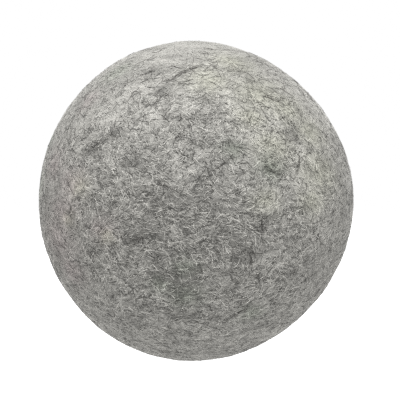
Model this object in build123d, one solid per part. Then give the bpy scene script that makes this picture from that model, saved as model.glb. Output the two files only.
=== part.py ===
from build123d import *

import os
from math import asin, ceil, cos, pi, sin

# Wool laundry dryer ball, built up from the centre outwards as the maker lays it.
#
# Starter tuft, one strand of wound yarn, a binding veil, then three felting rounds. Each round is a
# lengthwise wrap of carded wool, which is a belt with open poles, and a crosswise wrap over it, which
# covers the poles and brings the ball back to round. Each round is turned to a new axis.
#
# Units are millimetres. The origin is the ball's centre and +Z is up.

# ---- Driving dimensions ----
BALL_RADIUS = 35.0
# A felted ball dries slightly out of round: half-axes along X, Y and Z as shares of BALL_RADIUS.
OUT_OF_ROUND = (0.992, 1.0, 1.008)

TUFT_RADIUS = 8.0

YARN_DIAMETER = 4.0
YARN_PASSES = 3
YARN_SPACING = 1.08  # turn to turn and pass to pass, in yarn diameters
POLE_RING = 0.9  # radius of the first pass's smallest turn, in yarn diameters
RING_GROWTH = 0.35  # how much wider that turn is on each further pass, in yarn diameters
POINTS_PER_TURN = 12
RISE_TURN = 0.2  # share of a turn in which the strand climbs from one pass to the next
RISE_STEPS = 4
PATH_EDGES = 12  # the strand's centre line is cut into this many edges, so that it sweeps reliably

VEIL_THICKNESS = 1.5
LAY_GAP = 0.15  # between a hard-wound piece and the next one laid on it

# Each felting round: name, outer radius, and the axis its lengthwise wrap is wound about.
INNER_ROUND = ("inner_batt", 27.0, Axis.Z)
MIDDLE_ROUND = ("middle_batt", 31.5, Axis.X)
COVER_ROUND = ("cover_wool", BALL_RADIUS, Axis.Y)
LENGTHWISE_SHARE = 0.6  # of a round's thickness, at the belt's middle
POLE_DROP = 0.97  # a belt's polar half-axis, as a share of the radius it lies on

# ---- Sizes that follow from them ----
STRAND_PITCH = YARN_DIAMETER * YARN_SPACING
FIRST_PASS_RADIUS = TUFT_RADIUS + LAY_GAP + YARN_DIAMETER / 2
LAST_PASS_RADIUS = FIRST_PASS_RADIUS + (YARN_PASSES - 1) * STRAND_PITCH
VEIL_INNER = LAST_PASS_RADIUS + YARN_DIAMETER / 2 + LAY_GAP
VEIL_OUTER = VEIL_INNER + VEIL_THICKNESS


def starter_tuft():
    """The pellet of scrap wool, rolled hard between the palms, that the yarn is started on."""
    return Sphere(TUFT_RADIUS)


def on_sphere(radius, polar, azimuth):
    """A point at a radius, a polar angle from +Z and an azimuth, in radians."""
    return Vector(
        radius * sin(polar) * cos(azimuth),
        radius * sin(polar) * sin(azimuth),
        radius * cos(polar),
    )


def strand_points():
    """The centre line of the one yarn strand, pole to pole and back, one pass on top of another."""
    points = []
    azimuth = 0.0
    for layer in range(YARN_PASSES):
        radius = FIRST_PASS_RADIUS + layer * STRAND_PITCH
        from_top = layer % 2 == 0
        ring = YARN_DIAMETER * (POLE_RING + layer * RING_GROWTH)
        ring_polar = asin(ring / radius)
        turns = (pi - 2 * ring_polar) * radius / STRAND_PITCH
        steps = ceil(turns * POINTS_PER_TURN)
        for step in range(steps + 1):
            polar = ring_polar + step / steps * (pi - 2 * ring_polar)
            points.append(
                on_sphere(
                    radius,
                    polar if from_top else pi - polar,
                    azimuth + step / steps * turns * 2 * pi,
                )
            )
        azimuth += turns * 2 * pi
        # At the pole the strand climbs on to the next pass within part of a turn.
        for step in range(1, RISE_STEPS):
            rise = step / RISE_STEPS
            lifted = radius + rise**2 * (3 - 2 * rise) * STRAND_PITCH
            polar = asin((ring + rise * RING_GROWTH * YARN_DIAMETER) / lifted)
            turn = azimuth + rise * RISE_TURN * 2 * pi
            if layer < YARN_PASSES - 1:
                points.append(on_sphere(lifted, pi - polar if from_top else polar, turn))
        azimuth += RISE_TURN * 2 * pi
    return points


def wound_yarn_core():
    """One continuous strand of bulky wool yarn, wound over the tuft in passes."""
    strand = Spline(strand_points())
    path = Wire([strand.trim(i / PATH_EDGES, (i + 1) / PATH_EDGES) for i in range(PATH_EDGES)])
    section = Plane(path @ 0, z_dir=path % 0) * Circle(YARN_DIAMETER / 2)
    return sweep(section, path)


def binding_veil():
    """A thin veil of carded wool that holds the strand before the first felting."""
    return Sphere(VEIL_OUTER) - Sphere(VEIL_INNER)


def belt_profile(inner, outer):
    """A lengthwise wrap's cross-section in the half plane of its axis: a crescent with feathered edges."""
    belt = inner + LENGTHWISE_SHARE * (outer - inner)
    pole = inner * POLE_DROP
    half_plane = Pos(outer, 0) * Rectangle(2 * outer, 4 * outer)
    return Ellipse(belt, pole), Circle(inner), half_plane


def turned(profile, axis):
    """A profile drawn about its own Y, revolved and laid on the given axis."""
    body = revolve(profile, Axis.Y)
    across = Vector(0, 1, 0).cross(axis.direction)
    return body if across.length == 0 else body.rotate(Axis((0, 0, 0), across), 90)


def lengthwise_wrap(inner, outer, axis):
    """A belt of carded wool wound about one axis, thick at its middle and open at its poles."""
    oval, ball, half_plane = belt_profile(inner, outer)
    return turned((oval - ball) & half_plane, axis)


def crosswise_wrap(inner, outer_body, outer, axis):
    """The wrap laid at right angles, filling out from the belt and the bare poles to outer_body."""
    oval, ball, half_plane = belt_profile(inner, outer)
    return outer_body - turned((oval + ball) & half_plane, axis)


def felting_round(inner, label, outer, axis, outer_body=None):
    """A round's two wraps, by node name."""
    return {
        f"{label}_lengthwise": lengthwise_wrap(inner, outer, axis),
        f"{label}_crosswise": crosswise_wrap(inner, outer_body or Sphere(outer), outer, axis),
    }


def dryer_ball():
    """Every piece of the ball, by node name, from the centre outwards."""
    finished = scale(Sphere(BALL_RADIUS), by=OUT_OF_ROUND)
    return {
        "starter_tuft": starter_tuft(),
        "wound_yarn_core": wound_yarn_core(),
        "binding_veil": binding_veil(),
        **felting_round(VEIL_OUTER, *INNER_ROUND),
        **felting_round(INNER_ROUND[1], *MIDDLE_ROUND),
        **felting_round(MIDDLE_ROUND[1], *COVER_ROUND, outer_body=finished),
    }


os.makedirs("parts", exist_ok=True)
for node, shape in dryer_ball().items():
    export_step(shape, f"parts/{node}.step")
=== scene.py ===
"""Looks for the wool dryer ball: a felted cover of marled grey wool, and the wool layers inside it.

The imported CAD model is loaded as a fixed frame, and the pieces' sizes come from its boxes. What a box can't
give, such as the strand's thickness, is the CAD's own value. Lengths are in millimetres until a mesh is made,
where MM turns them into metres. +Z is up, and the camera looks along +Y.

Noise is sampled at a place divided by the size of its features. The number added to the place only picks
another stretch of the noise, so that two uses of it don't match.
"""

from math import cos, pi, radians, sin, sqrt

import bpy
import numpy as np
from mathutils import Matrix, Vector


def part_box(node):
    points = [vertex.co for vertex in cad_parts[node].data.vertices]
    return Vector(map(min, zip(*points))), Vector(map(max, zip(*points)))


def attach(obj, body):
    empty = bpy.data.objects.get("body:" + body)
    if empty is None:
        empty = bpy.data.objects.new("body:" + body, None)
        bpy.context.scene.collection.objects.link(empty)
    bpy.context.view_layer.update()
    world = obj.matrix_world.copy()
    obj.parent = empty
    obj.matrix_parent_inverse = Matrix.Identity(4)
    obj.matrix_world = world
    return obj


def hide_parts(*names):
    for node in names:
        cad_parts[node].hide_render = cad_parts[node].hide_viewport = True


MM = 0.001
SEED = 70

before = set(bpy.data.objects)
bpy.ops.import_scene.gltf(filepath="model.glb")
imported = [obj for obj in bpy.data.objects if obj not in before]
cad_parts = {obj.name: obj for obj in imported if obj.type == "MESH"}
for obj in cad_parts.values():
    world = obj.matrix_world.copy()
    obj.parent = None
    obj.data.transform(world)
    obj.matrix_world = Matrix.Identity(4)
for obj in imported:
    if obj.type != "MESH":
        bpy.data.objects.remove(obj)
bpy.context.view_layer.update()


def half_axes(node):
    """A CAD node's half-axes about the ball's centre."""
    low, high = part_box(node)
    return (np.array(high) - np.array(low)) / 2 / MM


BALL = half_axes("cover_wool_crosswise")
BALL_RADIUS = float(BALL.mean())

# ---- The cover's form ----
# The dried ball strays a little from its oval: three and four soft corners round its front, as shares of
# its radius.
THREE_CORNERS = 0.0068
FOUR_CORNERS = 0.0034
SKIN_DEPTH = 0.12  # from the ball's outline down to the mat that its surface fibres lie on
# Lumps, from broad to fine: height, size, and stretch of the noise.
LUMPS = ((0.1, 9, 0), (0.07, 3.7, 11), (0.045, 1.5, 23))
FOLD_DEPTH = 0.2
FOLD_SIZE = 6.5
FOLD_WIDTH = 0.12  # how near the noise is to zero at a fold
FOLDED_PATCH = 12  # the folds come in patches of about this size
PATCH_SHARPNESS = 2
CREASE_DEPTH = 0.35
CREASE_WIDTH = 0.55
CREASE_WAVER = 0.35
WAVER_SIZE = 1.6
CREASE_SHADE = 0.3  # painted shade: how much darker the wool in a crease is painted

# ---- Marks on the cover's front ----
# Each is given by where it lies across (X) and up (Z), and by how far it reaches. A crease has two ends and
# a strength.
CREASES = (
    ((-5, 26), (1.5, 29.5), 0.9), ((-24, 10), (-18, 14), 0.45),
    ((-5, 12.5), (-3, 14), 0.5), ((3, 6), (8, 9), 0.4),
    ((-8, 4), (-3, 1), 0.3), ((-14.5, -8.5), (-8.5, -7.5), 0.25),
    ((12, -9), (12, -14), 0.4), ((8, -25), (12, -22), 0.4),
    ((22.5, 9), (22, 4.5), 0.4), ((17, -8.5), (24, -10), 0.2),
    ((14, -3.5), (14.5, -6), 0.5), ((14.5, 7.5), (17.5, 5.5), 0.4),
)
DARK_MARKS = (
    (-9, 28, 2), (12, 26, 1.5), (14.5, 30.5, 3), (-7, 23, 1.6), (3, 18, 2.5), (-22, 11, 1.6),
    (-18, 14, 1.7), (-13, 8.5, 1.7), (3, 13, 2), (8, 12, 2), (21, 15, 2.3), (23, 19, 2),
    (16, 7, 2.5), (14, -5, 2.4), (7, -6, 2), (11.5, -11.5, 2.4), (-14, -8.2, 1.4), (-10, -7.8, 1.3),
    (-21, -10, 2), (-8, -12, 1.5), (-3.5, -15.5, 3.2), (-8, -17, 2), (-3, -19, 2.5), (10, -23, 2),
    (13, -27, 2), (20, -16, 2.3), (-1, -25, 2.5), (-9, 0, 2), (33, 2, 2.5),
)
PALE_MARKS = (
    (-1, 7, 2.2), (-25, 3, 3.2), (-26, 14, 2.5), (-17, 19, 3), (-18, 8, 2), (-14, 4, 2.5),
    (-9, 18, 2), (-3, 20, 1.5), (3, 27, 3), (13, 13, 2.5), (15, -0.5, 2.8), (26, 3, 4),
    (24, 9, 2.5), (28, -6, 3), (17, -11, 3), (-19, -7, 1.8), (-28, -4, 1.8), (-12, 24, 2),
)
CREAM_MARKS = (
    (8, 30, 4.5), (3, 26, 4.3), (14, 23, 6), (20, 20, 5), (12, 18, 3.5), (17, 12, 4.5),
    (25, 15, 4.5), (27, 6, 5.5), (25, 0, 3.5), (15, 0, 3), (-25, 3, 2.5), (-27.5, -4, 2),
    (-19, -7.5, 1.8),
)
GREEN_MARKS = (
    (16, 7, 2.8), (8, 11, 2.3), (-2, -14, 2.3), (-2, -20, 3), (-7, -18, 2.2), (12, -24, 2.3),
    (-17, 28, 3),
)
WARM_MARKS = (
    (-31, 8, 4), (-27, 4, 4), (-29, -2, 5), (-30, -8, 6), (-27, -15, 4), (-20, -6, 3),
    (-23, 22, 2.5),
)
# A broad patch has a place, a reach and how much paler it is. They are partly marl and partly painted light:
# the dark one over the ball's middle is painted shade against its brighter rim, and the pale one near the top
# is painted top light.
BROAD_MARL_AND_PAINTED_LIGHT = (
    (0, -7, 12, -0.17), (-5, 31, 7, 0.1), (18, 5, 8, 0.06), (10, 19, 5, 0.1), (-19, 19, 5, 0.06),
    (-10, 0, 5, -0.09), (-27, 2, 7, 0.08), (27, 0, 7, 0.08),
)
BEHIND = -0.25  # the rest of the ball starts this far round, as a share of its radius along Y
RAGGED_EDGE = 0.9
RAGGED_SIZE = 2.3

# ---- The marl: how much paler or darker than usual the wool is, from place to place ----
# Drifts, from broad to fine: how much paler or darker, size, and stretch of the noise.
MARL_DRIFTS = ((0.1, 8, 31), (0.28, 2.6, 13))
PALER_MARK = 0.26
DARKER_MARK = 0.42
# The marl lies flat: its patches and marks are wider than they are tall.
LEVEL = np.array([1, 1, 2.2])
MARK_LEVEL = np.array([0.88, 0.88, 1.15])
# Level streaks come in towards the top, between two heights given as shares of the ball's radius.
TOP_STREAKS = 0.4
STREAK_SIZE = np.array([7, 7, 0.8])
STREAK_HEIGHTS = (0.72, 0.87)

# ---- Wool colours ----
# Painted shade: the mat's darkest colour stands for the shadow in the gaps between the surface fibres.
GAP_SHADE_WOOL = (0.1, 0.098, 0.0915)
MAT_WOOL = (0.34, 0.334, 0.312)
DARK_WOOL = (0.052, 0.051, 0.047)
PALE_WOOL = (0.63, 0.619, 0.577)
CREAM_WOOL = (0.625, 0.623, 0.532)
GREEN_WOOL = (0.578, 0.604, 0.527)
WARM_WOOL = (0.643, 0.585, 0.562)
# Each of these is a darkest and a palest colour.
GUARD_WOOL = ((0.035, 0.032, 0.03), (0.105, 0.096, 0.09))
UNDYED_WOOL = ((0.4, 0.36, 0.28), (0.69, 0.65, 0.56))
YARN_WOOL = ((0.44, 0.38, 0.28), (0.74, 0.68, 0.56))
SCRAP_WOOL = ((0.13, 0.105, 0.085), (0.52, 0.47, 0.4))

# ---- Surface fibres ----
# They lie in locks, and a kind's lengths, radii and lifts are ranges. Base is how pale it is under the ball's
# middle and in its upper half, where it is painted paler as top light. Own share is how far fibres differ in
# tone, and top share is how much of that is left at the top.
PIECE_FIBRES = 11000
FIBRE_SIDES = 3
LOCK = dict(fibres=3, steps=4, spread=0.35, crimp=0.06)
LOW_FIBRES = dict(
    LOCK, pieces=3,
    length=(1.5, 4.5), radius=(0.07, 0.12), lift=(-0.06, 0.01),
    base=(0.275, 0.38), own_share=0.82, top_share=0.2,
)
TOP_FIBRES = dict(
    LOCK, pieces=6,
    length=(0.7, 3.8), radius=(0.032, 0.064), lift=(-0.01, 0.07),
    base=(0.41, 0.42), own_share=2.15, top_share=0.2,
)
GUARD_HAIRS = dict(
    fibres=1, steps=16, spread=0.35, crimp=0.17,
    length=(1.5, 6.5), radius=(0.026, 0.048), lift=(0.06, 0.16),
    base=(0.41, 0.41), own_share=0.5, top_share=1.0,
)
# Guard hairs are tried in this many places. A share is kept low down, all of them higher up, and fewer again
# round the pole.
GUARD_PLACES = 2700
GUARD_KEPT_LOW = 0.12
GUARD_RISE = 1.4
GUARD_START = 0.2
GUARD_POLE = 0.86
GUARD_POLE_LOSS = 0.6
CREASE_HAIRS = 14  # in a crease of full strength
CREASE_LENGTH = (1.5, 4.0)
CREASE_STARTS = (-0.15, 0.6)  # where its hairs start, as shares of its length
CREASE_SPREAD = 0.2
CREASE_CURL = 0.05
CREASE_CRIMP = 0.1
LOCK_WIDTH = 0.8
OWN_LENGTH = (0.7, 1.2)  # a fibre's length, as a share of its lock's
LOCK_TONE = 0.15  # how far locks differ in tone
CURL = 0.32  # how far locks turn, in radians for each millimetre of length
OWN_CURL = 0.1  # how far a fibre's curl is from its lock's
STRAY_TURN = 0.1  # from step to step, in radians
CRIMP_WAVE = (1.6, 3.2)
HEADING_SPREAD = 0.12  # of hairs in a crease, and of loose fibres inside
# How strongly the fibres lie along the flow, at each of these heights as shares of the ball's radius.
LIE_HEIGHTS = (0.25, 0.5, 0.68, 0.82, 0.9, 0.97)
LIE_PULLS = (2.1, 1.2, 1.2, 4.5, 3.0, 0.4)
FLOW_TURN = 1.1
FLOW_SIZE = 9
WEAVE = 0.04  # how far a fibre rises and falls along its length
WEAVE_TURN = (4, 12)  # in radians
DIVE = 0.12  # how deep its ends go
DIVE_STEEPNESS = 2.5
BLUNTNESS = 1.6  # how soon a fibre reaches its full width

# ---- The surface's tone ----
# How far wool is from its first base to its second, painted paler as top light: at the ball's middle, and
# more for each radius up.
BASE_SHARE = 0.1
BASE_RISE = 1.7
MAT_BASE = (0.25, 0.5)
PALE_SIDE = 0.22  # pale fibres stray from the usual tone by this share of what dark ones do
OWN_LIFT = 0.062  # makes up for part of what that takes away
OWN_DRIFT = 0.4  # along a fibre's length
MARL_SHARE = 0.42  # how much of the marl a fibre takes
# What is left at the ball's rim and at its top of the fibres' own tones and of the marl, and the ranges over
# which they fade: how squarely the wool faces the camera, and its height.
LIMB_CONTRAST = 0.25
LIMB_MARL = 0.45
TOP_MARL = 0.6
FACING = (0.3, 1.0)
MARL_FACING = (0.3, 0.95)
TONE_HEIGHTS = (0.4, 1.0)
MARL_HEIGHTS = (0.6, 0.95)
TINT_SHARE = 0.8
BALL_NORMAL = 0.6  # fibres are lit partly as the smooth ball that they lie on
WOOL_SHEEN = 0.12
WOOL_SPECULAR = 0.2
FIBRE_ROUGHNESS = 0.9
MAT_ROUGHNESS = 0.95
MAT_BUMP = 0.3
BUMP_SIZE = 0.4
MOTTLE_SIZE = 0.8
MOTTLE_SHARE = 0.8
DRIFT_SIZE = 0.7

# ---- Fibres drawn in the mat's material ----
DRAWN_LAYERS = 5
DRAWN_SPACING = 0.42
DRAWN_LENGTH = 5.0
DRAWN_BEND = 7.0
DRAWN_BEND_SIZE = 6.5
DRAWN_STRENGTH = 0.5
DRAWN_STAGGER = 17.0
DRAWN_PLACES = (0.35, 0.65)  # across its row
DRAWN_HALF_WIDTHS = (0.12, 0.34)  # as shares of its row
DRAWN_TAPER = (0.5, 0.3)  # from its tip to its full width
DRAWN_EDGE = (1.0, 0.35)  # from its edge to its full strength, in half widths
DRAWN_STEEP = (0.85, 0.6)
SPACING_RANGE = (0.8, 1.25)
LENGTH_RANGE = (0.8, 1.3)
LAYER_SEED = 7.3

# ---- Inside the cover ----
CLEARANCE = 0.05  # between one piece and the next
INNER_FIBRES = dict(
    count=2600, steps=6, curl=0.02,
    length=(4.0, 10.0), radius=(0.04, 0.07), lift=(-0.06, -0.03),
)
POLE_REACH = 0.97  # how near the poles the fibres start
BELT_REACH = 0.75  # how near a belt's edges they do
COMBED_ALONG = 6.0
COMBED_ACROSS = 0.45
BROAD_RIDGES = (0.8, 0.8, 0.3)  # how closely they follow each other, beside the fine ones
BROAD_SHARE = 0.6
RIDGE_CONTRAST = 0.45
# Carded wool's tone is streaks along its lay, finer streaks and a broad drift. Its relief is both streaks.
CARDED_DRIFT_SIZE = 6.0
CARDED_DRIFT = 0.4
CARDED_FINE_SIZE = 0.31
CARDED_FINE = 0.35
CARDED_TONES = (0.6, 1.15)  # of its darkest and its palest wool
CARDED_ROUGHNESS = (0.98, 0.82)
STREAK_RELIEF = 0.16
FINE_RELIEF = 0.05
CARDED_BUMP = 0.6
# How much of a belt's thickness its valleys take up, and how much more its ridges do.
BELT_VALLEYS = 0.7
BELT_RIDGES = 0.22
# A belt's ragged edge: where it runs, how far it strays in broad and in fine bites, as shares of its reach,
# and how many broad bites there are to a radian.
EDGE_REACH = 0.93
BROAD_BITES = 0.05
FINE_BITES = 0.03
EDGE_BITES = 9
FEATHER_POWER = 12  # higher is a shorter feather
SHELL_INSET = 0.12
SHELL_GROOVES = 0.5
# Folds in the tuft's scraps, broad and fine: share, size, and stretch of the noise.
SCRAP_FOLDS = ((1, 3.2, 3), (0.5, 1.4, 9))
SCRAP_FOLD_WIDTH = 0.35
SCRAP_FOLD_DEPTH = 2.2
SCRAP_INSET = 0.1
SCRAP_LUMPS = 0.2
SCRAP_LUMP_SIZE = 4
SCRAP_STREAKS = 0.9
VEIL_INSET = 0.1
VEIL_SAG = 0.35
VEIL_GROOVES = 0.25
YARN_RADIUS = 2.0
YARN_PITCH = 4.32  # turn to turn and pass to pass
YARN_GAP = 0.15  # between the tuft and the first pass
POLE_RINGS = (3.6, 5.0, 6.4)  # each pass's smallest turn
PASS_POINTS = 400
RISE_POINTS = 10
RISE_TURN = 0.2  # share of a turn in which the strand climbs to the next pass
PLIES = 3
PLY_RADIUS = 0.92
PLY_TWIST = 9.0
PLY_SIDES = 8
PLY_STEPS_A_TWIST = 13
PLY_SWELL = 0.05
SWELL_SIZE = 2.5
# A ply's fibres wind round it once in this length. Their streaks: how many to a radian, and how long.
FIBRE_TWIST = 6
STREAKS_ROUND = 3
STREAK_LENGTH = 5
VEIL_THICKNESS = 1.5

# ---- Stage ----
FLOOR_ALBEDO = 0.15
FLOOR_GLOW = 1.62
FLOOR_SIZE = 20  # metres, as the lamp's are
LAMP_TILT = 20  # degrees
LAMP_SIDE = 4
LAMP_DISTANCE = 0.9
LAMP_SIZE = 1.3
LAMP_POWER = 20
CAMERA_DISTANCE = 700
BALL_IN_FRAME = 0.791  # the ball's radius as a share of half the picture's width
CENTRE_SHIFT = (0.0125, 0.0027)  # the ball sits a little left of the picture's middle and a little low


# ---- Vectors and noise ----


def unit(vectors):
    """Vectors scaled to a length of one."""
    return vectors / np.linalg.norm(vectors, axis=-1, keepdims=True)


def tangent(headings, at):
    """Headings turned to lie along the unit sphere at the points that they start from."""
    return unit(headings - (headings * at).sum(axis=1, keepdims=True) * at)


class Noise:
    """Smooth seeded noise on many points at once, from about -1 to 1, with features one unit apart."""

    GAIN = 1.6

    def __init__(self, seed):
        rng = np.random.default_rng(seed)
        self.order = np.tile(rng.permutation(256), 3)
        self.slopes = unit(rng.normal(size=(256, 3)))

    def __call__(self, points):
        cell = np.floor(points).astype(int)
        inside = points - cell
        ease = inside**3 * (inside * (inside * 6 - 15) + 10)
        total = np.zeros(len(points))
        for corner in np.ndindex(2, 2, 2):
            i, j, k = ((cell + corner) & 255).T
            slope = self.slopes[self.order[self.order[self.order[i] + j] + k]]
            weight = np.prod(np.where(corner, ease, 1 - ease), axis=1)
            total += weight * np.einsum("ij,ij->i", slope, inside - corner)
        return total * self.GAIN


noise = Noise(SEED)


def front_point(across, up):
    """Where a mark lies on the ball's front."""
    return np.array([across, -sqrt(BALL_RADIUS**2 - across**2 - up**2), up])


CREASE_LINES = [(front_point(*start), front_point(*end), strength) for start, end, strength in CREASES]


def creased(points):
    """How deep in a crease each point is, from 0 to 1. The creases waver a little."""
    wavy = points + CREASE_WAVER * noise(points / WAVER_SIZE + 5)[:, None]
    deep = np.zeros(len(points))
    for start, end, strength in CREASE_LINES:
        run = end - start
        share = np.clip((wavy - start) @ run / (run @ run), 0, 1)
        away = np.linalg.norm(wavy - start - share[:, None] * run, axis=1)
        deep = np.maximum(deep, strength * np.exp(-((away / CREASE_WIDTH) ** 2)))
    return deep


def cover_radius(directions):
    """The mat's radius along each direction: an oval, a little cornered, with lumps, folds and creases."""
    x, _, z = directions.T
    oval = 1 / np.sqrt((directions**2 / BALL**2).sum(axis=1))
    corners = THREE_CORNERS * (x**3 - 3 * x * z**2) + FOUR_CORNERS * (x**4 - 6 * x**2 * z**2 + z**4)
    place = directions * BALL_RADIUS
    lumps = sum(height * noise(place / size + stretch) for height, size, stretch in LUMPS)
    fold = np.clip(1 - np.abs(noise(place / FOLD_SIZE + 41)) / FOLD_WIDTH, 0, 1) ** 2
    folded = np.clip(noise(place / FOLDED_PATCH + 57) * PATCH_SHARPNESS, 0, 1)
    mat = oval * (1 + corners) - SKIN_DEPTH + lumps
    return mat - FOLD_DEPTH * fold * folded - CREASE_DEPTH * creased(place)


def placed(front, scattered, reach):
    """Marks as points and reaches: the front's own, and others scattered over the rest of the ball."""
    rng = np.random.default_rng(SEED + scattered)
    elsewhere = unit(rng.normal(size=(scattered, 3)))
    elsewhere = elsewhere[elsewhere[:, 1] > BEHIND] * BALL_RADIUS
    own = [(front_point(across, up), size) for across, up, size in front]
    return own + list(zip(elsewhere, rng.uniform(*reach, len(elsewhere))))


DARK = placed(DARK_MARKS, 76, (1.6, 3.2))
PALE = placed(PALE_MARKS, 54, (1.6, 3.0))
TINTS = (
    placed(CREAM_MARKS, 13, (3.0, 5.5)),
    placed(GREEN_MARKS, 15, (2.0, 3.0)),
    placed(WARM_MARKS, 11, (2.5, 6.0)),
)


def marked(points, marks):
    """How strongly a kind of mark shows at each point, from 0 to 1. Its edge is ragged."""
    shifts = [noise(points / RAGGED_SIZE + 70 + 9 * k) for k in range(3)]
    ragged = points + RAGGED_EDGE * np.stack(shifts, axis=1)
    total = np.zeros(len(points))
    for middle, reach in marks:
        away = (((ragged - middle) * MARK_LEVEL) ** 2).sum(axis=1)
        total = np.maximum(total, np.exp(-away / reach**2))
    return total


def marl_and_painted_light(points):
    """How much paler or darker than usual the marled wool is at each point, before each fibre's own tone. It
    also holds painted shade in the creases, and the painted light and shade of some broad patches.
    """
    paler = sum(much * noise(points * LEVEL / size + stretch) for much, size, stretch in MARL_DRIFTS)
    low, high = STREAK_HEIGHTS
    streaked = np.clip((points[:, 2] / BALL_RADIUS - low) / (high - low), 0, 1)
    paler += TOP_STREAKS * noise(points / STREAK_SIZE + 47) * streaked
    # Painted light: a broad patch darkens the ball's middle as painted shade, and another lightens its top.
    for across, up, reach, amount in BROAD_MARL_AND_PAINTED_LIGHT:
        away = ((points - front_point(across, up)) ** 2).sum(axis=1)
        paler += amount * np.exp(-away / reach**2)
    paler = paler + PALER_MARK * marked(points, PALE) - DARKER_MARK * marked(points, DARK)
    # Painted shade: the wool in the creases is painted darker, where shade falls.
    return paler - CREASE_SHADE * creased(points)


def tints(points):
    """How cream, green and warm the wool is at each point."""
    return np.stack([marked(points, marks) for marks in TINTS], axis=1)


# ---- Meshes ----


def new_object(name, data):
    """An object for the data, in the scene."""
    made = bpy.data.objects.new(name, data)
    bpy.context.scene.collection.objects.link(made)
    return made


def mesh_piece(name, points, loops, sizes, material, slot, node=None):
    """A smooth mesh that rides on the ball, from points, all its faces' vertex numbers and their sizes."""
    mesh = bpy.data.meshes.new(name)
    mesh.vertices.add(len(points))
    mesh.vertices.foreach_set("co", (points * MM).astype(np.float32).ravel())
    mesh.loops.add(len(loops))
    mesh.loops.foreach_set("vertex_index", loops.astype(np.int32))
    mesh.polygons.add(len(sizes))
    mesh.polygons.foreach_set("loop_start", (np.cumsum(sizes) - sizes).astype(np.int32))
    mesh.update(calc_edges=True)
    mesh.shade_smooth()
    mesh.materials.append(material)
    piece = new_object(name, mesh)
    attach(piece, "root")
    if node:
        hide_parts(node)
    return piece


def store(piece, name, values):
    """Keeps a number, or a vector, for each of a piece's vertices, for its material to read."""
    kind, field = ("FLOAT", "value") if values.ndim == 1 else ("FLOAT_VECTOR", "vector")
    attribute = piece.data.attributes.new(name, kind, "POINT")
    attribute.data.foreach_set(field, values.astype(np.float32).ravel())


def cube_sphere(cuts):
    """Directions, and outward quads, of an even sphere: a cube with its faces cut and blown round."""
    line = np.tan(np.linspace(-1, 1, cuts + 1) * pi / 4)
    u, v = np.meshgrid(line, line, indexing="ij")
    grid = np.arange((cuts + 1) ** 2).reshape(cuts + 1, cuts + 1)
    quad = np.stack([grid[:-1, :-1], grid[1:, :-1], grid[1:, 1:], grid[:-1, 1:]], axis=-1).reshape(-1, 4)
    points, quads = [], []
    for axis in range(3):
        for side in (1.0, -1.0):
            face = np.roll(np.stack([np.full_like(u, side), u, v * side], axis=-1), axis, axis=-1)
            quads.append(quad + len(points) * grid.size)
            points.append(face.reshape(-1, 3))
    points = unit(np.concatenate(points))
    _, first, back = np.unique(np.round(points, 6), axis=0, return_index=True, return_inverse=True)
    return points[first], back.reshape(-1)[np.concatenate(quads)]


def ball_surface(radius, cuts, inward=False):
    """A closed surface about the centre, at a radius given as a function of direction."""
    directions, quads = cube_sphere(cuts)
    quads = quads[:, ::-1] if inward else quads
    return directions * radius(directions)[:, None], quads.ravel(), np.full(len(quads), 4)


def joined(*surfaces):
    """Several surfaces as one mesh: all their points, loops and face sizes."""
    starts = np.cumsum([0] + [len(points) for points, _, _ in surfaces])
    loops = [surface[1] + start for surface, start in zip(surfaces, starts)]
    points, _, sizes = zip(*surfaces)
    return np.concatenate(points), np.concatenate(loops), np.concatenate(sizes)


def strands(paths, radii, sides):
    """Closed round strands with pointed ends, one along each path: their points, loops and face sizes."""
    count, steps = radii.shape
    along = unit(np.gradient(paths, axis=1))
    side = unit(np.cross(along, unit(paths)))
    up = np.cross(side, along)
    turns = np.arange(sides) * 2 * pi / sides
    ring = np.cos(turns)[:, None] * up[:, 1:-1, None] + np.sin(turns)[:, None] * side[:, 1:-1, None]
    rings = paths[:, 1:-1, None] + radii[:, 1:-1, None, None] * ring
    points = np.concatenate([paths[:, :1], rings.reshape(count, -1, 3), paths[:, -1:]], axis=1)
    each = points.shape[1]
    faces = []
    for k in range(sides):
        a, b = 1 + k, 1 + (k + 1) % sides
        faces.append([0, b, a])
        for row in range(0, sides * (steps - 3), sides):
            faces.append([row + a, row + b, row + sides + b, row + sides + a])
        last = sides * (steps - 3)
        faces.append([last + a, last + b, each - 1])
    sizes = np.array([len(face) for face in faces])
    loops = np.concatenate(faces) + np.arange(count)[:, None] * each
    return points.reshape(-1, 3), loops.ravel(), np.tile(sizes, count)


def fibre_strands(rng, path, ground, kind):
    """Fibres along paths over a surface. Both of a fibre's ends dive into it."""
    count, steps = path.shape[:2]
    share = np.linspace(0, 1, steps)[None, :]
    shown = np.minimum(1, np.sin(share * pi) * DIVE_STEEPNESS)
    weave = np.sin(share * rng.uniform(*WEAVE_TURN, (count, 1)) + rng.uniform(0, 2 * pi, (count, 1)))
    height = (rng.uniform(*kind["lift"], (count, 1)) + WEAVE * weave) * shown - DIVE * (1 - shown)
    taper = np.sqrt(np.minimum(1, np.sin(share * pi) * BLUNTNESS))
    thickness = rng.uniform(*kind["radius"], (count, 1)) * taper
    return strands(path * (ground + height)[..., None], thickness, FIBRE_SIDES)


def on_points(values):
    """Values along fibres' paths, repeated for their strands' points."""
    middle = np.repeat(values[:, 1:-1], FIBRE_SIDES, axis=1)
    each = np.concatenate([values[:, :1], middle, values[:, -1:]], axis=1)
    return each.reshape(-1, *values.shape[2:])


# ---- Surface fibres ----


def flow(at):
    """The slow lie of the wool: mostly level round the ball, turning a little from place to place."""
    level = unit(np.cross([0, 0, 1], at) + 1e-6)
    angle = (FLOW_TURN * noise(at * BALL_RADIUS / FLOW_SIZE + 81))[:, None]
    return np.cos(angle) * level + np.sin(angle) * np.cross(at, level)


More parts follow.
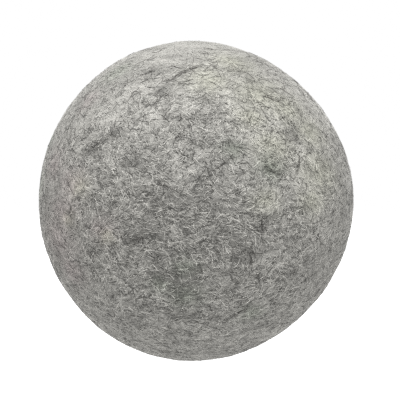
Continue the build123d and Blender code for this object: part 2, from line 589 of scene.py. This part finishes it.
def wander(rng, at, heading, length, curl, crimp, steps):
    """Paths over the unit sphere: each one curls, and sways from side to side as crimped wool does."""
    stride = (length / steps / BALL_RADIUS)[:, None]
    wave = rng.uniform(*CRIMP_WAVE, len(at))
    phase = rng.uniform(0, 2 * pi, len(at))
    path = [at]
    for step in range(steps):
        gone = length * step / steps
        sway = crimp * 2 * pi / wave * np.cos(2 * pi * gone / wave + phase)
        turn = ((curl + sway) * length / steps + rng.normal(0, STRAY_TURN, len(at)))[:, None]
        heading = np.cos(turn) * heading + np.sin(turn) * np.cross(at, heading)
        ahead = np.cos(stride) * at + np.sin(stride) * heading
        heading = np.cos(stride) * heading - np.sin(stride) * at
        at = ahead
        path.append(at)
    return np.stack(path, axis=1)


def pale_with_painted_top_light(low, high, path):
    """How pale wool is to begin with: one value under the ball's middle, and another in its upper half, where
    it is painted paler as top light.
    """
    return low + (high - low) * np.clip(path[..., 2] * BASE_RISE + BASE_SHARE, 0, 1)


def lie(rng, starts):
    """Headings for locks: each its own way, but on the whole along the flow."""
    own_way = unit(np.cross(starts, rng.normal(size=starts.shape)))
    pull = np.interp(starts[:, 2], LIE_HEIGHTS, LIE_PULLS)
    return unit(own_way + pull[:, None] * flow(starts))


def lock_paths(rng, kind, starts, headings):
    """Paths for the fibres of small locks, and each path's lock."""
    lock_length = rng.uniform(*kind["length"], len(starts))
    lock_curl = rng.normal(0, CURL, len(starts))
    lock = np.repeat(np.arange(len(starts)), kind["fibres"])
    count = len(lock)
    at = unit(starts[lock] + rng.normal(0, LOCK_WIDTH / BALL_RADIUS, (count, 3)))
    heading = tangent(headings[lock] + rng.normal(0, kind["spread"], (count, 3)), at)
    own_length = lock_length[lock] * rng.uniform(*OWN_LENGTH, count)
    own_curl = lock_curl[lock] + rng.normal(0, OWN_CURL, count)
    crimp = rng.normal(0, kind["crimp"], count)
    return lock, wander(rng, at, heading, own_length, own_curl, crimp, kind["steps"])


def lay_fibres(rng, name, kind, lock, path, material):
    """A piece of fibres along paths over the cover, which stores what their material reads."""
    count = len(path)
    ground = cover_radius(path.reshape(-1, 3)).reshape(count, -1)
    surface = fibre_strands(rng, path, ground, kind)
    piece = mesh_piece(name, *surface, material, "grey_wool")
    places = (path * BALL_RADIUS).reshape(-1, 3)
    lock_tone = rng.uniform(-0.5, 0.5, lock[-1] + 1)[lock]
    # The marl holds painted shade and light, and the level holds painted top light.
    paler = LOCK_TONE * lock_tone[:, None] + MARL_SHARE * marl_and_painted_light(places).reshape(count, -1)
    store(piece, "level", on_points(pale_with_painted_top_light(*kind["base"], path)))
    store(piece, "marl_and_painted_light", on_points(paler))
    store(piece, "tint", on_points(tints(places).reshape(count, -1, 3)))


# ---- Materials ----


class Tree:
    """Shorthand for building a node tree: every method adds a node and returns one of its outputs."""

    def __init__(self, tree):
        self.tree = tree

    def add(self, kind, output=0, inputs=(), **settings):
        node = self.tree.nodes.new(kind)
        for key, value in settings.items():
            setattr(node, key, value)
        for key, value in dict(inputs).items():
            if isinstance(value, bpy.types.NodeSocket):
                self.tree.links.new(value, node.inputs[key])
            else:
                node.inputs[key].default_value = value
        return node.outputs[output] if node.outputs else None

    def math(self, operation, a, b=0.0, c=0.0):
        return self.add("ShaderNodeMath", inputs={0: a, 1: b, 2: c}, operation=operation)

    def vector(self, operation, a, b=(0, 0, 0)):
        output = 1 if operation == "DOT_PRODUCT" else 0
        return self.add("ShaderNodeVectorMath", output, {0: a, 1: b}, operation=operation)

    def scaled(self, a, factor):
        return self.add("ShaderNodeVectorMath", inputs={0: a, "Scale": factor}, operation="SCALE")

    def smooth(self, value, low, high, to_low=0.0, to_high=1.0):
        inputs = {0: value, 1: low, 2: high, 3: to_low, 4: to_high}
        return self.add("ShaderNodeMapRange", inputs=inputs, interpolation_type="SMOOTHSTEP")

    def mix(self, factor, a, b):
        return self.add("ShaderNodeMix", 2, {0: factor, 6: rgba(a), 7: rgba(b)}, data_type="RGBA")

    def times(self, a, b):
        inputs = {0: 1.0, 6: a, 7: rgba(b)}
        return self.add("ShaderNodeMix", 2, inputs, data_type="RGBA", blend_type="MULTIPLY")

    def noise(self, place, size, detail=1.0):
        return self.add("ShaderNodeTexNoise", 0, {"Vector": place, "Scale": 1 / size, "Detail": detail})

    def attribute(self, name, output):
        return self.add("ShaderNodeAttribute", output, attribute_name=name)


def rgba(colour):
    """A colour of three numbers with its alpha; a socket passes through."""
    return colour if isinstance(colour, bpy.types.NodeSocket) else (*colour, 1)


def empty_tree(owner):
    """A material's or a world's node tree, emptied."""
    owner.use_nodes = True
    owner.node_tree.nodes.clear()
    return Tree(owner.node_tree)


def new_material(name):
    """A material, its empty tree, and its place in millimetres."""
    material = bpy.data.materials.new(name)
    t = empty_tree(material)
    return material, t, t.scaled(t.add("ShaderNodeTexCoord", 3), 1 / MM)


def finish_material(t, colour, roughness, height=None, strength=0.0, normal=None, sheen=0.0):
    """Joins a colour, a roughness and a height in millimetres to a matt surface."""
    inputs = {
        "Base Color": colour,
        "Roughness": roughness,
        "Specular IOR Level": WOOL_SPECULAR,
        "Sheen Weight": sheen,
    }
    if normal is not None:
        inputs["Normal"] = normal
    if height is not None:
        bump = {"Strength": strength, "Distance": MM, "Height": height}
        inputs["Normal"] = t.add("ShaderNodeBump", inputs=bump)
    surface = t.add("ShaderNodeBsdfPrincipled", inputs=inputs)
    t.add("ShaderNodeOutputMaterial", inputs={"Surface": surface})


def fibre_layer_group():
    """A node group that draws one set of fibres: side by side, slowly bent, each with its own place, width
    and tone. It gives how much of a point a fibre covers, and that fibre's tone."""
    group = bpy.data.node_groups.new("fibre_layer", "ShaderNodeTree")
    for name in ("Place", "Normal", "Across", "Along"):
        group.interface.new_socket(name, in_out="INPUT", socket_type="NodeSocketVector")
    for name in ("Seed", "Spacing", "Length", "Bend"):
        group.interface.new_socket(name, in_out="INPUT", socket_type="NodeSocketFloat")
    for name in ("Cover", "Tone"):
        group.interface.new_socket(name, in_out="OUTPUT", socket_type="NodeSocketFloat")
    t = Tree(group)
    given = group.nodes.new("NodeGroupInput").outputs
    shift = t.add("ShaderNodeCombineXYZ", inputs={0: given["Seed"], 1: given["Seed"]})
    slow = t.vector("ADD", t.scaled(given["Place"], 1 / DRAWN_BEND_SIZE), shift)
    warp = t.add("ShaderNodeTexNoise", 1, {"Vector": slow, "Scale": 1.0, "Detail": 1.5})
    bend = t.scaled(t.vector("SUBTRACT", warp, (0.5, 0.5, 0.5)), given["Bend"])
    bent = t.vector("ADD", given["Place"], bend)
    across = t.math("DIVIDE", t.vector("DOT_PRODUCT", bent, given["Across"]), given["Spacing"])
    along = t.math("DIVIDE", t.vector("DOT_PRODUCT", bent, given["Along"]), given["Length"])
    row = t.math("FLOOR", across)
    row_seed = t.math("ADD", row, given["Seed"])
    stagger = t.add("ShaderNodeTexWhiteNoise", 0, {"W": row_seed}, noise_dimensions="1D")
    along = t.math("MULTIPLY_ADD", stagger, DRAWN_STAGGER, along)
    cell = t.add("ShaderNodeCombineXYZ", inputs={0: row, 1: t.math("FLOOR", along), 2: given["Seed"]})
    fibre = t.add("ShaderNodeTexWhiteNoise", 1, {"Vector": cell}, noise_dimensions="3D")
    split = t.add("ShaderNodeSeparateColor", inputs={0: fibre}).node
    tone, width, place = split.outputs
    off_centre = t.math("SUBTRACT", t.math("FRACT", across), t.smooth(place, 0, 1, *DRAWN_PLACES))
    from_middle = t.math("ABSOLUTE", t.math("SUBTRACT", t.math("FRACT", along), 0.5))
    taper = t.smooth(from_middle, *DRAWN_TAPER)
    half_width = t.math("MULTIPLY", taper, t.smooth(width, 0, 1, *DRAWN_HALF_WIDTHS))
    from_edge = t.math("DIVIDE", t.math("ABSOLUTE", off_centre), t.math("MAXIMUM", half_width, 0.001))
    cover = t.smooth(from_edge, *DRAWN_EDGE)
    # Rows that meet the surface end-on would smear over it, so they fade there.
    steep = t.math("ABSOLUTE", t.vector("DOT_PRODUCT", given["Normal"], given["Across"]))
    cover = t.math("MULTIPLY", cover, t.smooth(steep, *DRAWN_STEEP))
    t.add("NodeGroupOutput", inputs={"Cover": cover, "Tone": tone})
    return group


FIBRE_LAYER = fibre_layer_group()


def drawn_fibres(t, place, colour, dark, pale, seed):
    """Fibres drawn over a colour in layers, each layer at its own slant."""
    rng = np.random.default_rng(seed)
    normal = t.add("ShaderNodeNewGeometry", 1)
    for layer in range(DRAWN_LAYERS):
        across = unit(rng.normal(size=3))
        along = unit(np.cross(across, rng.normal(size=3)))
        inputs = {
            "Place": place,
            "Normal": normal,
            "Across": across,
            "Along": along,
            "Seed": seed + layer * LAYER_SEED,
            "Spacing": DRAWN_SPACING * rng.uniform(*SPACING_RANGE),
            "Length": DRAWN_LENGTH * rng.uniform(*LENGTH_RANGE),
            "Bend": DRAWN_BEND,
        }
        cover = t.add("ShaderNodeGroup", "Cover", inputs, node_tree=FIBRE_LAYER)
        fibre = t.mix(cover.node.outputs["Tone"], dark, pale)
        colour = t.mix(t.math("MULTIPLY", cover, DRAWN_STRENGTH), colour, fibre)
    return colour


def tinted(t, colour, strength):
    """A colour moved towards cream, green and warm wool where the piece is tinted."""
    split = t.add("ShaderNodeSeparateXYZ", inputs={0: t.attribute("tint", 1)}).node
    for amount, tint in zip(split.outputs, (CREAM_WOOL, GREEN_WOOL, WARM_WOOL)):
        ratio = tuple(a / b for a, b in zip(tint, PALE_WOOL))
        colour = t.mix(t.math("MULTIPLY", amount, strength), colour, t.times(colour, ratio))
    return colour


def grey_felt():
    """The felted mat under the surface fibres: darker, running down to painted shade for the gaps between
    them, and mottled with the marl.
    """
    material, t, place = new_material("grey_felt")
    mottle = t.math("SUBTRACT", t.noise(place, MOTTLE_SIZE), 0.5)
    paleness = t.math("MULTIPLY_ADD", mottle, MOTTLE_SHARE, t.attribute("paleness", 2))
    # Painted shade: the mat's colour runs down to a dark one that stands for the shadow between fibres.
    colour = t.mix(t.smooth(paleness, 0.0, 1.0), GAP_SHADE_WOOL, MAT_WOOL)
    colour = drawn_fibres(t, place, colour, DARK_WOOL, MAT_WOOL, 5)
    bumps = t.noise(place, BUMP_SIZE, 2.0)
    finish_material(t, tinted(t, colour, 1.0), MAT_ROUGHNESS, height=bumps, strength=MAT_BUMP)
    return material


def fibre_wool(name, dark, pale, kind):
    """A surface fibre's wool. Each fibre has its own tone, which drifts along it and takes up the marl, with
    the painted light and shade stored with it, and the painted top light of its level.
    """
    material, t, place = new_material(name)
    geometry = t.tree.nodes.new("ShaderNodeNewGeometry").outputs
    outward = t.vector("NORMALIZE", place)
    facing = t.vector("DOT_PRODUCT", outward, geometry["Incoming"])
    height = t.add("ShaderNodeSeparateXYZ", 2, {0: outward})

    own = t.math("MULTIPLY_ADD", geometry["Random Per Island"], 2.0, -1.0)
    own = t.math("MULTIPLY", own, t.math("ABSOLUTE", own))
    own = t.math("ADD", OWN_LIFT, t.math("MINIMUM", own, t.math("MULTIPLY", own, PALE_SIDE)))
    drift = t.math("SUBTRACT", t.noise(place, DRIFT_SIZE), 0.5)
    own = t.math("MULTIPLY_ADD", drift, OWN_DRIFT, t.math("MULTIPLY", own, kind["own_share"]))
    own = t.math("MULTIPLY", own, t.smooth(facing, *FACING, LIMB_CONTRAST, 1.0))
    top_share = t.smooth(height, *TONE_HEIGHTS, 1.0, kind["top_share"])
    tone = t.math("MULTIPLY_ADD", own, top_share, t.attribute("level", 2))

    limb_marl = t.smooth(facing, *MARL_FACING, LIMB_MARL, 1.0)
    marl_share = t.math("MULTIPLY", limb_marl, t.smooth(height, *MARL_HEIGHTS, 1.0, TOP_MARL))
    tone = t.math("MULTIPLY_ADD", t.attribute("marl_and_painted_light", 2), marl_share, tone)
    colour = tinted(t, t.mix(t.smooth(tone, 0.0, 1.0), dark, pale), TINT_SHARE)

    normal = t.vector("ADD", t.scaled(geometry["Normal"], 1 - BALL_NORMAL), t.scaled(outward, BALL_NORMAL))
    finish_material(t, colour, FIBRE_ROUGHNESS, normal=t.vector("NORMALIZE", normal), sheen=WOOL_SHEEN)
    return material


def carded_wool(name, dark, pale):
    """Unfelted wool: streaks along its lay, which each piece stores, and a slow drift of tone."""
    material, t, place = new_material(name)
    lay = t.attribute("lay", 1)
    streaks = t.noise(lay, 1.0, 2.0)
    fine = t.noise(lay, CARDED_FINE_SIZE)
    drift = t.math("MULTIPLY_ADD", t.noise(place, CARDED_DRIFT_SIZE), CARDED_DRIFT, streaks)
    tone = t.math("MULTIPLY_ADD", fine, CARDED_FINE, drift)
    colour = t.mix(t.smooth(tone, *CARDED_TONES), dark, pale)
    roughness = t.smooth(tone, *CARDED_TONES, *CARDED_ROUGHNESS)
    height = t.math("MULTIPLY_ADD", fine, FINE_RELIEF, t.math("MULTIPLY", streaks, STREAK_RELIEF))
    finish_material(t, colour, roughness, height=height, strength=CARDED_BUMP)
    return material


# ---- The wool inside the cover ----


def lay(directions, axis, radius):
    """Where points lie in wool combed round an axis, in strides along its fibres and across them."""
    turned = np.roll(directions, -axis, axis=-1)
    around = unit(turned[..., 1:] + 1e-9)
    up = np.arcsin(np.clip(turned[..., :1], -1, 1))
    return np.concatenate([around * radius / COMBED_ALONG, up * radius / COMBED_ACROSS], axis=-1)


def combed(directions, axis, radius):
    """Ridges along the lay, from 0 to 1."""
    place = lay(directions, axis, radius)
    ridges = noise(place) + BROAD_SHARE * noise(place * BROAD_RIDGES + 19)
    return np.clip(0.5 + RIDGE_CONTRAST * ridges, 0, 1)


def combed_fibres(rng, axis, ground, reach=POLE_REACH):
    """Loose fibres along the lay of a combed surface, as far as its poles."""
    count = INNER_FIBRES["count"]
    at = unit(rng.normal(size=(2 * count, 3)))
    at = at[np.abs(at[:, axis]) < reach][:count]
    heading = tangent(unit(np.cross(np.eye(3)[axis], at)) + rng.normal(0, HEADING_SPREAD, at.shape), at)
    length = rng.uniform(*INNER_FIBRES["length"], len(at))
    curl = rng.normal(0, INNER_FIBRES["curl"], len(at))
    path = wander(rng, at, heading, length, curl, 0.0, INNER_FIBRES["steps"])
    level = ground(path.reshape(-1, 3)).reshape(len(at), -1)
    return fibre_strands(rng, path, level, INNER_FIBRES)


class Belt:
    """A lengthwise wrap: an oval round its axis, sunk below the ball that it lies on at its open poles."""

    def __init__(self, node, inner, axis):
        size = half_axes(node)
        self.node, self.inner, self.axis = node, inner, "xyz".index(axis)
        self.equator = size[(self.axis + 1) % 3]
        height = size[self.axis]
        self.edge = np.arcsin(height / inner)
        self.pole = height / sqrt(1 - (inner**2 - height**2) / self.equator**2)

    def oval(self, directions):
        along = directions[:, self.axis] ** 2
        return 1 / np.sqrt((1 - along) / self.equator**2 + along / self.pole**2)

    def over(self, directions):
        """The radius just outside the belt and the ball's bare poles."""
        return np.maximum(self.inner, self.oval(directions)) + CLEARANCE

    def ground(self, directions):
        """The belt's own outside, with its combed ridges."""
        thickness = self.oval(directions) - self.inner
        filled = BELT_VALLEYS + BELT_RIDGES * combed(directions, self.axis, self.inner)
        return self.inner + thickness * filled

    def surface(self, rows=120, columns=230):
        """The outside and the inside meet in ragged, feathered edges."""
        turn = np.linspace(0, 2 * pi, columns, endpoint=False)[:, None]
        share = np.sin(np.linspace(-pi / 2, pi / 2, rows))[None, :]
        circle = np.stack([np.cos(turn), np.sin(turn), np.zeros_like(turn)], axis=-1).reshape(-1, 3)
        place = circle * EDGE_BITES
        ragged = [
            EDGE_REACH + BROAD_BITES * noise(place + edge) + FINE_BITES * noise(3 * place + edge)
            for edge in (3, 8)
        ]
        reach = np.where(share < 0, ragged[0][:, None], ragged[1][:, None])
        up = share * self.edge * reach
        directions = np.stack([np.sin(up), np.cos(up) * np.cos(turn), np.cos(up) * np.sin(turn)], axis=-1)
        directions = np.roll(directions, self.axis, axis=-1)
        ground = self.ground(directions.reshape(-1, 3)).reshape(up.shape)
        low = self.inner + CLEARANCE / 2
        feather = 1 - share**FEATHER_POWER
        outside = directions * (low + (ground - low) * feather)[..., None]
        inside = directions[:, -2:0:-1] * low
        points = np.concatenate([outside, inside], axis=1)
        each = points.shape[1]
        grid = np.arange(columns * each).reshape(columns, each)
        right, ahead = np.roll(grid, -1, axis=0), np.roll(grid, -1, axis=1)
        quads = np.stack([grid, right, np.roll(right, -1, axis=1), ahead], axis=-1).reshape(-1, 4)
        return points.reshape(-1, 3), quads.ravel(), np.full(len(quads), 4)


COVER_BELT = Belt("cover_wool_lengthwise", half_axes("middle_batt_crosswise").mean(), "y")


def wool_piece(node, surface, material, slot, axis, radius):
    """A piece of combed wool that stands for a CAD node, with its lay stored."""
    piece = mesh_piece(f"{node}_wool", *surface, material, slot, node)
    store(piece, "lay", lay(unit(surface[0]), axis, radius))


def lengthwise_wrap(rng, belt, material, slot):
    """A belt with loose fibres on it."""
    fibres = combed_fibres(rng, belt.axis, belt.ground, BELT_REACH * sin(belt.edge))
    surface = joined(belt.surface(), fibres)
    wool_piece(belt.node, surface, material, slot, belt.axis, belt.inner)


def crosswise_wrap(rng, node, belt, material):
    """A shell over a belt and the ball's bare poles, combed at right angles to the belt."""
    outer = half_axes(node).mean()
    axis = (belt.axis + 1) % 3

    def ground(directions):
        return outer - SHELL_INSET - SHELL_GROOVES * (1 - combed(directions, axis, outer)) ** 2

    under = ball_surface(belt.over, 56, inward=True)
    surface = joined(ball_surface(ground, 72), under, combed_fibres(rng, axis, ground))
    wool_piece(node, surface, material, "undyed_wool", axis, outer)


def binding_veil(material):
    """The veil sinks a little between the strand's turns."""
    outer = half_axes("binding_veil").mean()

    def ground(directions):
        up = np.arccos(directions[:, 2]) * outer / YARN_PITCH * 2 * pi
        turn = np.arctan2(directions[:, 1], directions[:, 0])
        sunk = 0.5 - 0.5 * np.cos(up - turn)
        sunk *= np.sqrt(1 - directions[:, 2] ** 2)
        return outer - VEIL_INSET - VEIL_SAG * sunk - VEIL_GROOVES * combed(directions, 1, outer)

    def under(directions):
        return np.full(len(directions), outer - VEIL_THICKNESS + CLEARANCE)

    surface = joined(ball_surface(ground, 84), ball_surface(under, 48, inward=True))
    wool_piece("binding_veil", surface, material, "undyed_wool", 1, outer)


def yarn_path(spacing):
    """Even steps along the strand's centre line, pole to pole and back in passes: how far, and where."""
    first = half_axes("starter_tuft").mean() + YARN_GAP + YARN_RADIUS
    line, azimuth = [], 0.0
    for layer, ring in enumerate(POLE_RINGS):
        radius = first + layer * YARN_PITCH
        edge = np.arcsin(ring / radius)
        turns = (pi - 2 * edge) * radius / YARN_PITCH
        share = np.linspace(0, 1, PASS_POINTS)
        polar = edge + share * (pi - 2 * edge)
        if layer % 2:
            polar = pi - polar
        line.append(np.stack([np.full(PASS_POINTS, radius), polar, azimuth + share * turns * 2 * pi]))
        azimuth += turns * 2 * pi
        if layer < len(POLE_RINGS) - 1:
            rise = np.linspace(0, 1, RISE_POINTS)[1:-1]
            lifted = radius + rise**2 * (3 - 2 * rise) * YARN_PITCH
            polar = np.arcsin((ring + rise * (POLE_RINGS[layer + 1] - ring)) / lifted)
            if layer % 2 == 0:
                polar = pi - polar
            line.append(np.stack([lifted, polar, azimuth + rise * RISE_TURN * 2 * pi]))
            azimuth += RISE_TURN * 2 * pi
    radius, polar, azimuth = np.concatenate(line, axis=1)
    flat = np.sin(polar)
    directions = np.stack([flat * np.cos(azimuth), flat * np.sin(azimuth), np.cos(polar)], axis=1)
    points = radius[:, None] * directions
    gone = np.concatenate([[0], np.cumsum(np.linalg.norm(np.diff(points, axis=0), axis=1))])
    even = np.arange(0, gone[-1], spacing)
    return even, np.stack([np.interp(even, gone, axis) for axis in points.T], axis=1)


def wound_yarn(material):
    """The strand's three twisted plies."""
    gone, centre = yarn_path(PLY_TWIST / PLY_STEPS_A_TWIST)
    along = unit(np.gradient(centre, axis=0))
    side = unit(np.cross(along, unit(centre)))
    up = np.cross(side, along)
    offset = YARN_RADIUS - PLY_RADIUS
    paths = []
    for ply in range(PLIES):
        turn = (gone / PLY_TWIST + ply / PLIES)[:, None] * 2 * pi
        paths.append(centre + offset * (np.cos(turn) * up + np.sin(turn) * side))
    paths = np.stack(paths)
    swell = np.stack([noise(centre / SWELL_SIZE + 7 * ply) for ply in range(PLIES)])
    radii = PLY_RADIUS * (1 - PLY_SWELL + PLY_SWELL * swell)
    surface = strands(paths, radii, PLY_SIDES)
    piece = mesh_piece("wound_yarn", *surface, material, "wool_yarn", "wound_yarn_core")
    round_ply = np.tile(np.arange(PLY_SIDES) / PLY_SIDES, len(gone) - 2)
    spot = np.concatenate([[0], round_ply, [0]]) * 2 * pi
    run = np.concatenate([gone[:1], np.repeat(gone[1:-1], PLY_SIDES), gone[-1:]])
    spot = spot - run / FIBRE_TWIST * 2 * pi
    around = STREAKS_ROUND * np.stack([np.cos(spot), np.sin(spot)])
    place = np.vstack([around, run / STREAK_LENGTH]).T
    store(piece, "lay", np.concatenate([place + 40 * ply for ply in range(PLIES)]))


def starter_tuft(rng, material):
    """A hard-rolled pellet of crumpled scraps."""
    radius = half_axes("starter_tuft").mean()

    def ground(directions):
        place = directions * radius
        folds = sum(share * np.abs(noise(place / size + stretch)) for share, size, stretch in SCRAP_FOLDS)
        folded = np.clip(SCRAP_FOLD_WIDTH - folds, 0, 1) * SCRAP_FOLD_DEPTH
        return radius - SCRAP_INSET - folded - SCRAP_LUMPS * (1 + noise(place / SCRAP_LUMP_SIZE + 17))

    surface = joined(ball_surface(ground, 56), combed_fibres(rng, 2, ground))
    piece = mesh_piece("starter_tuft_wool", *surface, material, "scrap_wool", "starter_tuft")
    store(piece, "lay", surface[0] / SCRAP_STREAKS)


def inside():
    """Every piece under the cover, from the centre outwards."""
    rng = np.random.default_rng(SEED + 2)
    undyed = carded_wool("undyed_wool", *UNDYED_WOOL)
    starter_tuft(rng, carded_wool("scrap_wool", *SCRAP_WOOL))
    wound_yarn(carded_wool("wool_yarn", *YARN_WOOL))
    binding_veil(undyed)
    rounds = (("inner_batt", "binding_veil", "z"), ("middle_batt", "inner_batt_crosswise", "x"))
    for name, under, axis in rounds:
        belt = Belt(f"{name}_lengthwise", half_axes(under).mean(), axis)
        lengthwise_wrap(rng, belt, undyed, "undyed_wool")
        crosswise_wrap(rng, f"{name}_crosswise", belt, undyed)
    grey = carded_wool("grey_carded_wool", DARK_WOOL, PALE_WOOL)
    lengthwise_wrap(rng, COVER_BELT, grey, "grey_wool")


# ---- The cover ----


def felt_cover():
    """The felted mat, hollowed to fit over the belt."""
    surface = joined(ball_surface(cover_radius, 116), ball_surface(COVER_BELT.over, 48, inward=True))
    piece = mesh_piece("felt_cover", *surface, grey_felt(), "grey_wool", "cover_wool_crosswise")
    points = surface[0]
    # The paleness holds the marl with its painted shade and light, and the painted top light.
    store(piece, "paleness", marl_and_painted_light(points) + pale_with_painted_top_light(*MAT_BASE, unit(points)))
    store(piece, "tint", tints(points))


def surface_fibres():
    """The fibres over the mat: coarse ones low down, and fine ones on top of them."""
    rng = np.random.default_rng(SEED)
    for layer, kind in (("low", LOW_FIBRES), ("top", TOP_FIBRES)):
        wool = fibre_wool(f"{layer}_wool", DARK_WOOL, PALE_WOOL, kind)
        for number in range(1, kind["pieces"] + 1):
            starts = unit(rng.normal(size=(PIECE_FIBRES // kind["fibres"], 3)))
            lock, path = lock_paths(rng, kind, starts, lie(rng, starts))
            lay_fibres(rng, f"{layer}_fibres_{number}", kind, lock, path, wool)


def crease_paths(rng):
    """Paths for hairs that lie in the creases."""
    starts, headings = [], []
    for start, end, strength in CREASE_LINES:
        count = round(strength * CREASE_HAIRS)
        starts.append(start + rng.uniform(*CREASE_STARTS, (count, 1)) * (end - start))
        headings.append(np.tile(unit(end - start), (count, 1)))
    at = unit(np.concatenate(starts) + rng.normal(0, CREASE_SPREAD, (sum(map(len, starts)), 3)))
    heading = tangent(np.concatenate(headings) + rng.normal(0, HEADING_SPREAD, at.shape), at)
    length = rng.uniform(*CREASE_LENGTH, len(at))
    curl = rng.normal(0, CREASE_CURL, len(at))
    crimp = rng.normal(0, CREASE_CRIMP, len(at))
    return wander(rng, at, heading, length, curl, crimp, GUARD_HAIRS["steps"])


def guard_hairs():
    """Coarse dark hairs: most of them towards the top, and some in the creases."""
    rng = np.random.default_rng(SEED + 1)
    starts = unit(rng.normal(size=(GUARD_PLACES, 3)))
    high = starts[:, 2]
    rise = np.clip(high * GUARD_RISE - GUARD_START, 0, 1)
    chance = GUARD_KEPT_LOW + (1 - GUARD_KEPT_LOW) * rise - GUARD_POLE_LOSS * (high > GUARD_POLE)
    starts = starts[rng.uniform(size=len(starts)) < chance]
    _, path = lock_paths(rng, GUARD_HAIRS, starts, lie(rng, starts))
    path = np.concatenate([path, crease_paths(rng)])
    wool = fibre_wool("guard_wool", *GUARD_WOOL, GUARD_HAIRS)
    lay_fibres(rng, "guard_hairs", GUARD_HAIRS, np.arange(len(path)), path, wool)


inside()
felt_cover()
surface_fibres()
guard_hairs()


# ---- Stage ----


def white_floor():
    """A plain pale floor that glows a little, so that it meets the white background with no line."""
    material, t, _ = new_material("floor")
    diffuse = t.add("ShaderNodeBsdfDiffuse", inputs={"Color": (FLOOR_ALBEDO,) * 3 + (1,)})
    glow = t.add("ShaderNodeEmission", inputs={"Color": (1, 1, 1, 1), "Strength": FLOOR_GLOW})
    both = t.add("ShaderNodeAddShader", inputs={0: diffuse, 1: glow})
    t.add("ShaderNodeOutputMaterial", inputs={"Surface": both})
    bpy.ops.mesh.primitive_plane_add(size=FLOOR_SIZE, location=(0, 0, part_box("cover_wool_crosswise")[0].z))
    floor = bpy.context.object
    floor.name = "floor"
    floor.data.materials.append(material)


def soft_light():
    """A white room, and one large round lamp overhead, a little towards the camera."""
    world = bpy.data.worlds.new("studio")
    t = empty_tree(world)
    background = t.add("ShaderNodeBackground", inputs={"Color": (1, 1, 1, 1), "Strength": 1.0})
    t.add("ShaderNodeOutputWorld", inputs={"Surface": background})
    bpy.context.scene.world = world
    light = bpy.data.lights.new("overhead", "AREA")
    light.shape = "DISK"
    light.size = LAMP_SIZE
    light.energy = LAMP_POWER
    lamp = new_object("overhead", light)
    side, tilt = radians(LAMP_SIDE), radians(LAMP_TILT)
    aim = Vector((sin(side), -sin(tilt), cos(tilt))).normalized()
    lamp.location = aim * LAMP_DISTANCE
    lamp.rotation_euler = aim.to_track_quat("Z", "Y").to_euler()


def camera():
    """A long lens, level with the ball's centre."""
    data = bpy.data.cameras.new("camera")
    view = new_object("camera", data)
    outline = BALL_RADIUS / sqrt(1 - (BALL_RADIUS / CAMERA_DISTANCE) ** 2)
    data.lens = data.sensor_width / 2 * CAMERA_DISTANCE / outline * BALL_IN_FRAME
    data.shift_x, data.shift_y = CENTRE_SHIFT
    view.location = (0, -CAMERA_DISTANCE * MM, 0)
    view.rotation_euler = (radians(90), 0, 0)
    bpy.context.scene.camera = view


white_floor()
soft_light()
camera()
bpy.context.scene.view_settings.view_transform = "Standard"
bpy.context.scene.cycles.use_denoising = False  # it would smear the fibres
